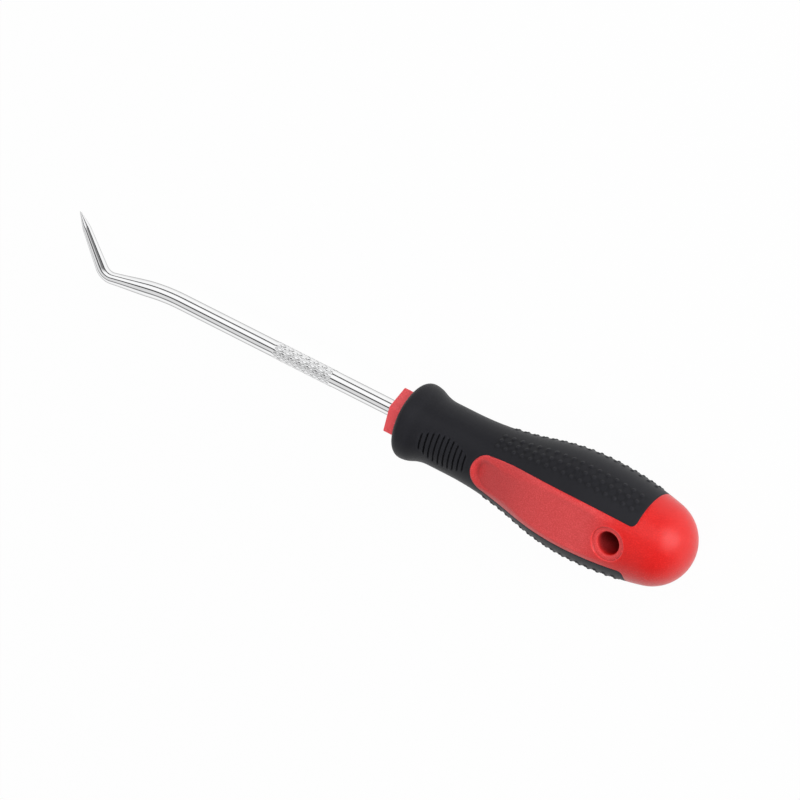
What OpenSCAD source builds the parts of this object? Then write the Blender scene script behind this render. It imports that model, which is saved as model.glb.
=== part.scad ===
// O-ring pick: a bent steel pick in a hard plastic handle with a soft overmoulded grip.
// Every piece is drawn about the tool's own axis, which is Z here: z = 0 is the front face of the
// hexagonal collar, +Z runs back to the butt, and +X is the direction of the hanging hole.
// The module as_it_lies then lays the tool on the flat of its lower panel.

/* [Pick] */
// Diameter of the steel rod
rod_diameter = 5; // [4:0.1:6]
// Length of plain rod from the collar to the knurled band
knurl_start = 23.5; // [15:0.5:35]
// Length of the knurled band
knurl_length = 20.6; // [10:0.1:30]
// Diameter over the knurled band
knurl_diameter = 5.2; // [5.1:0.05:6.4]
// Distance from the collar to the start of the gentle reverse set
set_start = 79; // [70:0.5:90]
// Angle of the reverse set
set_angle = 10; // [4:0.5:14]
// Centreline radius of the reverse set
set_radius = 70; // [50:1:90]
// Length of the taper between the reverse set and the main bend
taper_length = 13; // [8:0.5:20]
// Diameter of the pick at the main bend
bend_diameter = 3.7; // [3:0.1:4]
// Centreline radius of the main bend
bend_radius = 5.5; // [4:0.1:8]
// Angle between the pick's tip and the straight rod
pick_angle = 45; // [30:1:60]
// Length of the tip from the main bend to the start of the point
tip_length = 13; // [8:0.5:20]
// Diameter of the tip where the point starts
tip_diameter = 2.6; // [2:0.1:2.9]
// Length of the conical point
point_length = 5.4; // [3:0.1:8]
// Diameter of the blunted end of the point
point_diameter = 0.4; // [0.2:0.1:1]
// Angle of the bend about the axis, from the hanging hole
bend_clocking = 101; // [70:1:110]

/* [Tang inside the handle] */
// Length of the tang behind the collar's front face
tang_length = 62; // [45:1:68]
// Width across the pressed wings
wing_width = 8.6; // [7:0.1:10]
// Thickness of the pressed wings
wing_thickness = 2.2; // [1.6:0.1:3]
// Length of each wing
wing_length = 7; // [4:0.5:9]
// Distance from the collar's front face to the middle of each pair of wings
wing_places = [34, 50];

/* [Handle form] */
// Length of the handle from the collar's front face to the end of the butt
handle_length = 103; // [98:0.5:110]
// Length of the hexagonal collar in front of the grip
collar_length = 4.5; // [3:0.1:6]
// Width of the collar across its flats
collar_flats = 14.3; // [12:0.1:16]
// Diameter of the flared front
flare_diameter = 24.3; // [23:0.1:26]
// Radius of the rounded rim in front of the flare
rim_radius = 2.6; // [2.4:0.1:3]
// Radius of the flare's rounded back
flare_radius = 8; // [5:0.1:12]
// Diameter of the neck
neck_diameter = 20.4; // [19:0.1:21]
// Distance from the collar's front face to the start of the neck
neck_start = 16; // [14:0.1:18]
// Distance from the collar's front face to the end of the neck
neck_end = 22.7; // [20:0.1:28]
// Diameter of the belly
belly_diameter = 32; // [31.8:0.1:34]
// Distance from the collar's front face to the widest part of the belly
belly_place = 68; // [62:0.5:72]
// Radius of the belly's curve towards the neck
belly_front_radius = 75; // [50:1:100]
// Radius of the belly's curve towards the butt
belly_back_radius = 108; // [90:1:130]

/* [Hard core and soft grip] */
// Thickness of the soft grip
grip_thickness = 2.2; // [1.6:0.1:2.3]
// Distance from the collar's front face to the end of the grip's two fingers
finger_end = 88; // [86:0.5:90]
// Radius of the fingers' corners
finger_corner = 1.5; // [0.5:0.1:2.5]
// Distance from the collar's front face to the front of the grip's windows
window_front = 32.2; // [31:0.1:36]
// Half of the window's width at the belly
window_half_width = 8.5; // [7.6:0.1:8.5]
// Half of the window's width behind its round front
window_front_half_width = 5.9; // [4.8:0.1:6.2]
// Length of the window's round front
window_nose = 5; // [3:0.1:7]
// Depth of the flat panel under the belly's round form
panel_depth = 1.8; // [1.8:0.1:2.1]
// Depth of the panel's front end under the neck's round form
panel_front_depth = 1; // [0.8:0.1:1.3]
// Width of the core's rim between the grip and the panel
panel_rim = 1.2; // [1.2:0.1:1.6]

/* [Hanging hole] */
// Diameter of the hanging hole
hole_diameter = 7; // [5:0.1:8]
// Distance from the collar's front face to the hanging hole
hole_place = 82; // [78:0.5:84]
// Diameter of the shallow recess around the hole
hole_recess_diameter = 10.4; // [9:0.1:12]
// Depth of that recess
hole_recess_depth = 0.5; // [0.3:0.1:1]
// Width of the hole's chamfered edge
hole_chamfer = 0.5; // [0.2:0.1:0.8]

/* [Thumb pads] */
// Number of grooves in each thumb pad
groove_count = 10; // [6:1:10]
// Distance between grooves
groove_pitch = 1.72; // [1.5:0.02:1.76]
// Width of a groove
groove_width = 0.55; // [0.4:0.05:0.9]
// Depth of a groove
groove_depth = 0.45; // [0.3:0.05:0.8]
// Distance from the collar's front face to the first groove
pad_front = 14; // [13.5:0.1:14.8]
// Half of the pad's width at its middle
pad_half_width = 4.9; // [3:0.1:5.2]

/* [Grip nubs] */
// Number of rows of nubs on each side of a finger's middle
nub_rows = 3; // [1:1:3]
// Number of nubs in each row
nub_columns = 17; // [10:1:17]
// Distance between nubs along the handle
nub_pitch = 2.95; // [2:0.05:3]
// Angle between rows
nub_row_angle = 11; // [9:0.5:12]
// Angle from a finger's middle to its first row
nub_first_angle = 17; // [8:0.5:18]
// Distance from the collar's front face to the first nubs
nub_front = 37.2; // [35:0.1:37.8]
// Diameter of a nub at its foot
nub_diameter = 1.25; // [0.8:0.05:1.5]
// Height of a nub over the grip
nub_height = 0.4; // [0.2:0.05:0.5]

/* [Hidden] */
$fn = 120;
bigger_than_handle = 2 * belly_diameter;

// Radii and places of the arcs along the handle's round form, each tangent to the next
flare_r = flare_diameter / 2;
neck_r = neck_diameter / 2;
belly_r = belly_diameter / 2;
flare_place = collar_length + rim_radius;

// Sum of the radii of two arcs that swing in opposite ways between two levels
function radii_sum(along, rise) = (along * along + rise * rise) / (2 * rise);
neck_front_radius = radii_sum(neck_start - flare_place, flare_r - neck_r) - flare_radius;
neck_back_radius = radii_sum(belly_place - neck_end, belly_r - neck_r) - belly_front_radius;
butt_run = handle_length - belly_place;
butt_radius = (2 * belly_back_radius * belly_r - butt_run * butt_run - belly_r * belly_r)
    / (2 * (belly_back_radius - butt_run));

// Centres of those arcs, as [distance along the axis, distance from the axis]
rim_centre = [flare_place, flare_r - rim_radius];
flare_centre = [flare_place, flare_r - flare_radius];
neck_front_centre = [neck_start, neck_r + neck_front_radius];
neck_back_centre = [neck_end, neck_r + neck_back_radius];
belly_front_centre = [belly_place, belly_r - belly_front_radius];
belly_back_centre = [belly_place, belly_r - belly_back_radius];
butt_centre = [handle_length - butt_radius, 0];

// The point at a distance from one centre, on the line through another
function on_line(from, to, distance) = from + (to - from) * distance / norm(to - from);
function flare_turn(inset) = on_line(flare_centre, neck_front_centre, flare_radius - inset);
function belly_turn(inset) = on_line(belly_front_centre, neck_back_centre, belly_front_radius - inset);
function butt_turn(inset) = on_line(belly_back_centre, butt_centre, belly_back_radius - inset);

// Height of a circle over the axis, on its far or near side
function over(centre, radius, s) = centre[1] + sqrt(radius * radius - pow(s - centre[0], 2));
function under(centre, radius, s) = centre[1] - sqrt(radius * radius - pow(s - centre[0], 2));

// Radius of the handle's round form at a distance from the collar's front face
function grip_r(s) =
    s < flare_turn(0)[0] ? over(flare_centre, flare_radius, s) :
    s < neck_start ? under(neck_front_centre, neck_front_radius, s) :
    s < neck_end ? neck_r :
    s < belly_turn(0)[0] ? under(neck_back_centre, neck_back_radius, s) :
    s < belly_place ? over(belly_front_centre, belly_front_radius, s) :
    over(belly_back_centre, belly_back_radius, s);

// The part of a disc beyond the chord from p to q, with a shallow root on the chord's other side
root_share = 0.1;
module beyond_chord(p, q, centre, radius) {
    middle = (p + q) / 2;
    out = (middle - centre) / norm(middle - centre);
    intersection() {
        translate(centre) circle(radius, $fn = 360);
        polygon([p, p + out * radius, q + out * radius, q, middle - out * root_share * norm(q - p)]);
    }
}

// An outline of straight sides, with arcs that swell out of it or bite into it.
// Each arc is [index of the side's first corner, centre, radius].
module outline(corners, swells, bites) {
    difference() {
        polygon(corners);
        for (a = bites) beyond_chord(corners[a[0]], corners[a[0] + 1], a[1], a[2]);
    }
    for (a = swells) beyond_chord(corners[a[0]], corners[a[0] + 1], a[1], a[2]);
}

// The handle's round form, turned about the axis and set in from its surface
module round_form(inset) {
    corners = [
        [handle_length - inset, 0],
        butt_turn(inset),
        [belly_place, belly_r - inset],
        belly_turn(inset),
        [neck_end, neck_r - inset],
        [neck_start, neck_r - inset],
        flare_turn(inset),
        [flare_place, flare_r - inset],
        [collar_length + inset, rim_centre[1]],
        [collar_length + inset, 0],
    ];
    rotate_extrude() mirror([1, -1, 0]) outline(
        corners,
        [
            [0, butt_centre, butt_radius - inset],
            [1, belly_back_centre, belly_back_radius - inset],
            [2, belly_front_centre, belly_front_radius - inset],
            [6, flare_centre, flare_radius - inset],
            [7, rim_centre, rim_radius - inset],
        ],
        [
            [3, neck_back_centre, neck_back_radius + inset],
            [5, neck_front_centre, neck_front_radius + inset],
        ]
    );
}

// Turns a plan drawn as [along the axis, across the hole] into a prism along the hole
module along_hole() {
    rotate([0, -90, 0]) linear_extrude(bigger_than_handle, center = true) children();
}

// Half-width of the window in the grip: an arc over the belly, closed by a round front
window_bow = window_half_width - window_front_half_width;
window_run = belly_place - window_front - window_nose;
window_arc = (window_run * window_run + window_bow * window_bow) / (2 * window_bow);
window_arc_centre = [belly_place, window_half_width - window_arc];
nose_steps = 8;
side_steps = 6;
function window_y(s) = over(window_arc_centre, window_arc, s);
function nose_y(angle) = window_y(window_front + window_nose) * sin(angle);
function window_side() = concat(
    [for (i = [0:nose_steps]) [
        window_front + window_nose * (1 - cos(90 * i / nose_steps)),
        nose_y(90 * i / nose_steps),
    ]],
    [for (i = [1:side_steps]) let (
        s = window_front + window_nose
            + (finger_end - finger_corner - window_front - window_nose) * i / side_steps
    ) [s, window_y(s)]]
);
function finger_corner_arc() = let (y = window_y(finger_end - finger_corner) + finger_corner) [
    for (i = [1:4]) [
        finger_end - finger_corner + finger_corner * sin(90 * i / 4),
        y - finger_corner * cos(90 * i / 4),
    ]
];
function mirrored(points) = [for (i = [len(points) - 1:-1:1]) [points[i][0], -points[i][1]]];

// Plan of the hard plastic that shows: both windows and the butt behind the fingers
module bare_plan() {
    side = concat(window_side(), finger_corner_arc(), [
        [finger_end, bigger_than_handle / 2],
        [handle_length + bigger_than_handle / 2, bigger_than_handle / 2],
    ]);
    polygon(concat(side, mirrored(side)));
}

// Plan of the flat panel inside a window
module panel_plan() {
    panel_share = 1 - panel_rim / window_y(window_front + window_nose);
    side = concat(
        [for (p = window_side()) p[0] < window_front + window_nose
            ? [p[0] + panel_rim * (1 - (p[0] - window_front) / window_nose), p[1] * panel_share]
            : [p[0], p[1] - panel_rim]],
        [[handle_length + 1, window_y(finger_end) - panel_rim]]
    );
    polygon(concat(side, mirrored(side)));
}

// What is cut from the round form to leave one flat panel, seen from the side
panel_level = belly_r - panel_depth;
panel_front_level = neck_r - panel_front_depth;
panel_dip_radius = radii_sum(belly_place - neck_end, panel_level - panel_front_level)
    - belly_front_radius;
panel_dip_centre = [neck_end, panel_front_level + panel_dip_radius];
panel_crown_centre = [belly_place, panel_level - belly_front_radius];
module above_panel() {
    corners = [
        [window_front, bigger_than_handle],
        [window_front, under(panel_dip_centre, panel_dip_radius, window_front)],
        on_line(panel_crown_centre, panel_dip_centre, belly_front_radius),
        [belly_place, panel_level],
        [handle_length + 1, panel_level],
        [handle_length + 1, bigger_than_handle],
    ];
    rotate([0, -90, -90]) linear_extrude(bigger_than_handle, center = true) outline(
        corners,
        [[1, panel_dip_centre, panel_dip_radius]],
        [[2, panel_crown_centre, belly_front_radius]]
    );
}

// The whole handle's outer form, with both panels cut flat
module handle_form() {
    difference() {
        round_form(0);
        for (side = [0, 180]) rotate(side) intersection() {
            above_panel();
            along_hole() panel_plan();
        }
    }
}

// Hexagonal collar, with two flats square to the hanging hole
collar_root = collar_length + 2 * grip_thickness;
module collar() {
    rotate(30) cylinder(d = collar_flats / cos(30), h = collar_root, $fn = 6);
}

// Everything under and between the soft grip
module core_fill() {
    round_form(grip_thickness);
    along_hole() bare_plan();
    collar();
}

// The hanging hole, with a chamfered edge in a shallow recess at each panel
module hanging_hole() {
    floor_level = panel_level - hole_recess_depth;
    translate([0, 0, hole_place]) rotate([0, 90, 0]) {
        cylinder(d = hole_diameter, h = 2 * bigger_than_handle, center = true);
        for (end = [0, 180]) rotate([end, 0, 0]) {
            translate([0, 0, floor_level]) cylinder(d = hole_recess_diameter, h = bigger_than_handle);
            translate([0, 0, floor_level - hole_chamfer]) cylinder(
                d1 = hole_diameter, d2 = hole_diameter + 4 * hole_chamfer, h = 2 * hole_chamfer
            );
        }
    }
}

// Rod inside the handle, with two pairs of wings pressed out of it
module tang() {
    cylinder(d = rod_diameter, h = tang_length);
    for (s = wing_places) translate([0, 0, s])
        cube([wing_thickness, wing_width, wing_length], center = true);
}

// A stretch of rod along +Z, and what follows it
module rod(length, d1, d2) {
    cylinder(d1 = d1, d2 = d2, h = length);
    translate([0, 0, length]) children();
}

// A tapered stretch after a bend: it starts a hair inside the bend and narrower, so the two fuse
lap = 0.04;
module taper(length, d1, d2) {
    translate([0, 0, -lap]) cylinder(d1 = d1 - lap, d2 = d2, h = length + lap);
    translate([0, 0, length]) children();
}

// A bend towards +X in a rod along +Z, and what follows it
module bend(radius, angle, d) {
    translate([radius, 0, 0]) rotate([90, 0, 180])
        rotate_extrude(angle = angle) translate([radius, 0]) circle(d = d);
    translate([radius, 0, 0]) rotate([0, angle, 0]) translate([-radius, 0, 0]) children();
}

// Bent front of the pick, from the collar to its point, along +Z and bent towards +X
module pick_front() {
    knurl_end = knurl_start + knurl_length;
    rod(knurl_start, rod_diameter, rod_diameter)
    rod(knurl_length, knurl_diameter, knurl_diameter)
    rod(set_start - knurl_end, rod_diameter, rod_diameter)
    rotate(180) bend(set_radius, set_angle, rod_diameter)
    rotate(180) taper(taper_length, rod_diameter, bend_diameter)
    bend(bend_radius, pick_angle + set_angle, bend_diameter)
    taper(tip_length, bend_diameter, tip_diameter)
    rod(point_length, tip_diameter, point_diameter);
}

// How far the point reaches in front of the collar, and to the side of the axis
set_reach = set_start + set_radius * sin(set_angle) + taper_length * cos(set_angle);
bend_reach = bend_radius * (sin(set_angle) + sin(pick_angle));
tip_run = tip_length + point_length;
point_reach = set_reach + bend_reach + tip_run * cos(pick_angle) + point_diameter / 2 * sin(pick_angle);

// Pitch at which the rim of the flare and the lower panel touch the ground together
rest_run = belly_place - flare_place;
rest_rise = rim_centre[1] - panel_crown_centre[1];
rest_pitch = atan2(rest_run, rest_rise)
    - acos((belly_front_radius - rim_radius) / norm([rest_run, rest_rise]));
rest_height = rim_radius + cos(rest_pitch) * rim_centre[1] - sin(rest_pitch) * flare_place;

// Places the tool at rest: its point towards +X, the hanging hole nearly upright,
// the ground at z = 0 and the middle of its length over the origin
point_side = (tip_run * sin(pick_angle) + bend_radius * (cos(set_angle) - cos(pick_angle))
    - set_radius * (1 - cos(set_angle)) - taper_length * sin(set_angle));
point_drop = point_side * cos(bend_clocking);
front_end = cos(rest_pitch) * point_reach + sin(rest_pitch) * point_drop;
back_end = cos(rest_pitch) * butt_centre[0] + butt_radius;
module as_it_lies() {
    translate([(back_end - front_end) / 2, 0, rest_height])
        rotate([0, rest_pitch - 90, 0]) children();
}

// Plan of a thumb pad: a leaf between two arcs
pad_length = (groove_count - 1) * groove_pitch;
pad_reach = pad_length / 2 + 2 * groove_pitch;
pad_arc = (pad_reach * pad_reach + pad_half_width * pad_half_width) / (2 * pad_half_width);
module pad_plan() {
    translate([pad_front + pad_length / 2, 0]) intersection_for (side = [-1, 1])
        translate([0, side * (pad_arc - pad_half_width)]) circle(pad_arc);
}

// Grooves across the thumb pads, each a ring about the axis that the pad's outline trims
module thumb_grooves() {
    intersection() {
        for (i = [0:groove_count - 1]) let (s = pad_front + i * groove_pitch)
            translate([0, 0, s]) rotate_extrude()
                translate([grip_r(s) - groove_depth, -groove_width / 2]) square([3, groove_width]);
        along_hole() pad_plan();
    }
}

// Rows of low domes along both fingers, for hold when the handle is turned
module nubs() {
    dome_radius = (nub_diameter * nub_diameter / 4 + nub_height * nub_height) / (2 * nub_height);
    for (finger = [0, 180], side = [-1, 1], row = [0:nub_rows - 1], column = [0:nub_columns - 1])
        let (s = nub_front + column * nub_pitch)
            rotate(finger + side * (nub_first_angle + row * nub_row_angle))
                translate([0, grip_r(s) + nub_height - dome_radius, s])
                    rotate([90, 0, 0]) sphere(dome_radius, $fn = 16);
}

// The steel pick: one rod, knurled, bent, tapered and pointed, with its tang
module pick_shaft() {
    color("silver") as_it_lies() {
        tang();
        rotate(-bend_clocking) rotate([180, 0, 0]) pick_front();
    }
}

// The hard plastic core: collar, windows, butt and hanging hole in one moulding
module handle_core() {
    color("crimson") as_it_lies() difference() {
        union() {
            intersection() {
                handle_form();
                core_fill();
            }
            collar();
        }
        hanging_hole();
        tang();
    }
}

// The soft grip moulded over the core: flared ring, neck and two fingers with their nubs
module grip_sleeve() {
    color("dimgray") as_it_lies() difference() {
        union() {
            handle_form();
            nubs();
        }
        core_fill();
        thumb_grooves();
    }
}

pick_shaft();
handle_core();
grip_sleeve();
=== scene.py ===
import math

import bmesh
import bpy
import numpy as np
from mathutils import Matrix, Vector


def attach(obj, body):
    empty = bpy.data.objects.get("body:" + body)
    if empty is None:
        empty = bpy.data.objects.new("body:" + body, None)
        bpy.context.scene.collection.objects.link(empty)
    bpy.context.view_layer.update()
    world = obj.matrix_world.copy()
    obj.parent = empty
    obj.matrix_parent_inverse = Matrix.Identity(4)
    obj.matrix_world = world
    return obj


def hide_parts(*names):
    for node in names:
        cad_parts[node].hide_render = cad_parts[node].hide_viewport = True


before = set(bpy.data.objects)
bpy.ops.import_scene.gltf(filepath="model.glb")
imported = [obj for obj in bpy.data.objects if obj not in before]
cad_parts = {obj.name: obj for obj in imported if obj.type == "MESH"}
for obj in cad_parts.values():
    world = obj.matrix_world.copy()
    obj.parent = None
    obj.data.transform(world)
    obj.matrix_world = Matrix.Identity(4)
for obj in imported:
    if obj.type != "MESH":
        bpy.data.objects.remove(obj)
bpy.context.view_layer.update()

# The steel pick: one 5 mm rod, rolled with a diamond knurl, set back a little, tapered, bent to
# 45 degrees and ground to a point, then bright chrome plated. Its plain tang sits in the handle.
ROD_RADIUS = 2.5
TANG_LENGTH, TANG_CHAMFER = 62.0, 0.4
ROD_SIDES = 180
KNURL_START, KNURL_END = 23.5, 44.1
KNURL_RADIUS = 2.6
KNURL_STARTS = 9
KNURL_HELIX = math.radians(31)
KNURL_DEPTH, KNURL_ROUGHNESS = 0.16, 0.18
KNURL_LAND, KNURL_UNEVEN, KNURL_RUNOUT = 0.5, 0.15, 0.5
KNURL_ROWS = 165
SET_START, SET_ANGLE, SET_RADIUS = 79.0, math.radians(10), 70.0
TAPER_LENGTH = 13.0
BEND_THICKNESS, BEND_RADIUS = 1.85, 5.5
PICK_ANGLE = math.radians(45)
TIP_LENGTH, TIP_THICKNESS = 13.0, 1.3
POINT_LENGTH, POINT_THICKNESS = 5.4, 0.2
BEND_CLOCKING = math.radians(-101)
REST_PITCH = math.radians(1.96811)
COLLAR_X, COLLAR_Z = -9.43077, 11.9005
WELD_GAP, SLIVER = 1.5e-6, 5e-7


def as_it_lies(points):
    """Tool millimetres (towards the hanging hole, across, back from the collar) to frame metres."""
    x, y, s = np.moveaxis(np.asarray(points, float), -1, 0)
    lean, level = math.sin(REST_PITCH), math.cos(REST_PITCH)
    along = COLLAR_X + x * lean - s * level
    height = COLLAR_Z + x * level + s * lean
    return np.stack([along, y, height], -1) / 1000


def frame_x(s, x=0.0):
    """Place along the frame's X, in metres, of a point so far back from the collar."""
    return float(as_it_lies([x, 0, s])[0])


def ease(share):
    """A smooth step from 0 to 1."""
    share = np.clip(share, 0, 1)
    return share * share * (3 - 2 * share)


def edge_drop(distance, rounding):
    """How far a rounded edge lies below its face, at a distance in from the edge."""
    gap = rounding - np.clip(distance, 0, rounding)
    return rounding - np.sqrt(rounding ** 2 - gap ** 2)


def add_sheet(skin, grid, wrap=False):
    """Adds a grid of points to a skin as quads. A wrapped grid closes on itself."""
    rows, columns = grid.shape[:2]
    first = sum(len(points) for points, _ in skin)
    ids = first + np.arange(rows * columns).reshape(rows, columns)
    if wrap:
        ids = np.concatenate([ids, ids[:, :1]], 1)
    corners = [ids[:-1, :-1], ids[:-1, 1:], ids[1:, 1:], ids[1:, :-1]]
    skin.append((grid.reshape(-1, 3), np.stack(corners, -1).reshape(-1, 4).tolist()))


def add_face(skin, outline):
    """Adds one flat-ish face with any number of corners to a skin."""
    first = sum(len(points) for points, _ in skin)
    skin.append((np.asarray(outline), [list(range(first, first + len(outline)))]))


def close_skin(name, skin, crease, mirrored=False):
    """Welds a skin's sheets, and its mirror images if it is a quarter, into one closed piece."""
    points = np.concatenate([p for p, _ in skin])
    faces = [f for _, some in skin for f in some]
    every_point, every_face = [], []
    for side_x, side_y in ((1, 1), (1, -1), (-1, 1), (-1, -1)) if mirrored else ((1, 1),):
        first = len(points) * len(every_point)
        every_point.append(points * [side_x, side_y, 1])
        every_face += [[first + i for i in f[:: side_x * side_y]] for f in faces]
    mesh = bpy.data.meshes.new(name)
    mesh.from_pydata(as_it_lies(np.concatenate(every_point)).tolist(), [], every_face)
    shape = bmesh.new()
    shape.from_mesh(mesh)
    bmesh.ops.remove_doubles(shape, verts=shape.verts, dist=WELD_GAP)
    bmesh.ops.dissolve_degenerate(shape, edges=shape.edges, dist=SLIVER)
    bmesh.ops.recalc_face_normals(shape, faces=shape.faces)
    shape.to_mesh(mesh)
    shape.free()
    mesh.shade_smooth()
    mesh.set_sharp_from_angle(angle=math.radians(crease))
    piece = bpy.data.objects.new(name, mesh)
    bpy.context.collection.objects.link(piece)
    return piece


def pick_path():
    """Stations along the rod from its tang to its point: (ahead, aside, heading, radius)."""
    stations = [(-TANG_LENGTH, 0, 0, ROD_RADIUS - TANG_CHAMFER),
                (TANG_CHAMFER - TANG_LENGTH, 0, 0, ROD_RADIUS)]
    stations += [(a, 0, 0, ROD_RADIUS) for a in (-1, 0, 8, 16, KNURL_START - KNURL_RUNOUT)]
    stations += [(a, 0, 0, KNURL_RADIUS) for a in np.linspace(KNURL_START, KNURL_END, KNURL_ROWS)]
    stations += [(a, 0, 0, ROD_RADIUS)
                 for a in np.linspace(KNURL_END + KNURL_RUNOUT, SET_START, 8)]
    for turn in np.linspace(0, SET_ANGLE, 14)[1:]:
        ahead = SET_START + SET_RADIUS * math.sin(turn)
        aside = -SET_RADIUS * (1 - math.cos(turn))
        stations.append((ahead, aside, -turn, ROD_RADIUS))
    ahead, aside = stations[-1][:2]
    for share in np.linspace(0, 1, 14)[1:]:
        run = TAPER_LENGTH * share
        thick = ROD_RADIUS + (BEND_THICKNESS - ROD_RADIUS) * (share + ease(share)) / 2
        stations.append((
            ahead + run * math.cos(SET_ANGLE), aside - run * math.sin(SET_ANGLE),
            -SET_ANGLE, thick,
        ))
    ahead, aside = stations[-1][:2]
    middle = ahead + BEND_RADIUS * math.sin(SET_ANGLE), aside + BEND_RADIUS * math.cos(SET_ANGLE)
    for heading in np.linspace(-SET_ANGLE, PICK_ANGLE, 30)[1:]:
        stations.append((
            middle[0] + BEND_RADIUS * math.sin(heading),
            middle[1] - BEND_RADIUS * math.cos(heading),
            heading, BEND_THICKNESS,
        ))
    ahead, aside = stations[-1][:2]
    nose = [(TIP_LENGTH * q, BEND_THICKNESS + (TIP_THICKNESS - BEND_THICKNESS) * q)
            for q in np.linspace(0.08, 0.97, 14)]
    nose += [(TIP_LENGTH + POINT_LENGTH * q, TIP_THICKNESS * (1 - q) + POINT_THICKNESS * q)
             for q in np.linspace(0.02, 0.985, 12)]
    end = TIP_LENGTH + POINT_LENGTH
    nose += [(end - 0.03, 0.19), (end - 0.01, 0.14), (end, 0.05)]
    for run, thick in nose:
        stations.append((
            ahead + run * math.cos(PICK_ANGLE), aside + run * math.sin(PICK_ANGLE),
            PICK_ANGLE, thick,
        ))
    return np.array(stations)


def knurl_height(ahead, turn):
    """Height of the rolled band: two crossing sets of helical grooves leave soft diamonds."""
    pitch = 2 * math.pi * KNURL_RADIUS / KNURL_STARTS
    around = turn * KNURL_STARTS / (2 * math.pi)
    climb = ahead * math.tan(KNURL_HELIX) / pitch
    depth = np.zeros(np.broadcast(ahead, turn).shape)
    for sense in (1, -1):
        place = around + sense * climb
        from_groove = np.abs(2 * (place - np.floor(place)) - 1)
        cut = np.clip((from_groove - KNURL_LAND) / (1 - KNURL_LAND), 0, 1)
        waver = np.sin(2.3 * ahead + sense * 3 * turn) * np.sin(5 * turn + 1.1 * ahead)
        depth = np.maximum(depth, KNURL_DEPTH * cut ** 1.3 * (1 + KNURL_UNEVEN * waver))
    ends = np.clip(np.minimum(ahead - KNURL_START, KNURL_END - ahead) / KNURL_RUNOUT, 0, 1)
    return -depth * ends


path = pick_path()
turn = np.linspace(0, 2 * math.pi, ROD_SIDES, endpoint=False)
ahead, aside, heading, radius = (path[:, k, None] for k in range(4))
knurled = (ahead >= KNURL_START) & (ahead <= KNURL_END) & (heading == 0)
radius = radius + np.where(knurled, knurl_height(ahead, turn[None]), 0)
in_bend = aside + radius * np.cos(turn) * np.cos(heading)
front = ahead - radius * np.cos(turn) * np.sin(heading)
side = radius * np.sin(turn)
pick_rings = np.stack([
    in_bend * math.cos(BEND_CLOCKING) - side * math.sin(BEND_CLOCKING),
    in_bend * math.sin(BEND_CLOCKING) + side * math.cos(BEND_CLOCKING),
    np.broadcast_to(-front, in_bend.shape),
], -1)
pick_skin = []
add_sheet(pick_skin, pick_rings, wrap=True)
add_face(pick_skin, pick_rings[0])
add_face(pick_skin, pick_rings[-1][::-1])
pick = close_skin("pick", pick_skin, crease=50)


def new_group(name, inputs, outputs):
    """An empty shader node group of value inputs and outputs."""
    group = bpy.data.node_groups.new(name, "ShaderNodeTree")
    for label in inputs:
        group.interface.new_socket(label, in_out="INPUT", socket_type="NodeSocketFloat")
    for label in outputs:
        group.interface.new_socket(label, in_out="OUTPUT", socket_type="NodeSocketFloat")
    return group, group.nodes.new("NodeGroupInput"), group.nodes.new("NodeGroupOutput")


def place_group(nodes, group, values):
    """One use of a node group, with its own input values."""
    node = nodes.new("ShaderNodeGroup")
    node.node_tree = group
    for label, value in values.items():
        node.inputs[label].default_value = value
    return node


def feed(links, value, socket):
    """Links one socket to another, or sets it to a plain value."""
    if isinstance(value, bpy.types.NodeSocket):
        links.new(value, socket)
    else:
        socket.default_value = value


def math_node(nodes, links, operation, a, b=0.0):
    """A maths node whose two sides are sockets or plain numbers."""
    node = nodes.new("ShaderNodeMath")
    node.operation = operation
    feed(links, a, node.inputs[0])
    feed(links, b, node.inputs[1])
    return node.outputs[0]


def map_range(nodes, links, value, source=(0, 1), target=(0, 1), smooth=False):
    """A value carried from one range to another and held at its ends."""
    node = nodes.new("ShaderNodeMapRange")
    if smooth:
        node.interpolation_type = "SMOOTHSTEP"
    feed(links, value, node.inputs["Value"])
    for label, ends in (("From", source), ("To", target)):
        feed(links, ends[0], node.inputs[label + " Min"])
        feed(links, ends[1], node.inputs[label + " Max"])
    return node.outputs["Result"]


def new_noise(nodes, links, place, scale, detail=2.0):
    """The value of a noise texture."""
    node = nodes.new("ShaderNodeTexNoise")
    links.new(place, node.inputs["Vector"])
    feed(links, scale, node.inputs["Scale"])
    node.inputs["Detail"].default_value = detail
    return node.outputs["Fac"]


def blend_colours(nodes, links, factor, first, second, kind="MIX"):
    """A colour from two, by a mask. Each of the two is a socket or a plain colour."""
    mix = nodes.new("ShaderNodeMix")
    mix.data_type, mix.blend_type = "RGBA", kind
    feed(links, factor, mix.inputs["Factor"])
    for label, colour in (("A", first), ("B", second)):
        feed(links, (*colour, 1) if isinstance(colour, tuple) else colour, mix.inputs[label])
    return mix.outputs["Result"]


def add_bump(nodes, links, shader, height, strength):
    """A texture too fine to model, a tenth of a millimetre deep at full strength."""
    bump = nodes.new("ShaderNodeBump")
    bump.inputs["Strength"].default_value = strength
    bump.inputs["Distance"].default_value = 0.0001
    links.new(height, bump.inputs["Height"])
    links.new(bump.outputs["Normal"], shader.inputs["Normal"])


def new_finish(name):
    """A material with a Principled shader, and object coordinates whole and by axis."""
    material = bpy.data.materials.new(name)
    material.use_nodes = True
    nodes, links = material.node_tree.nodes, material.node_tree.links
    nodes.clear()
    out = nodes.new("ShaderNodeOutputMaterial")
    shader = nodes.new("ShaderNodeBsdfPrincipled")
    links.new(shader.outputs["BSDF"], out.inputs["Surface"])
    place = nodes.new("ShaderNodeTexCoord").outputs["Object"]
    axes = nodes.new("ShaderNodeSeparateXYZ")
    links.new(place, axes.inputs["Vector"])
    return material, nodes, links, shader, place, axes.outputs


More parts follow.
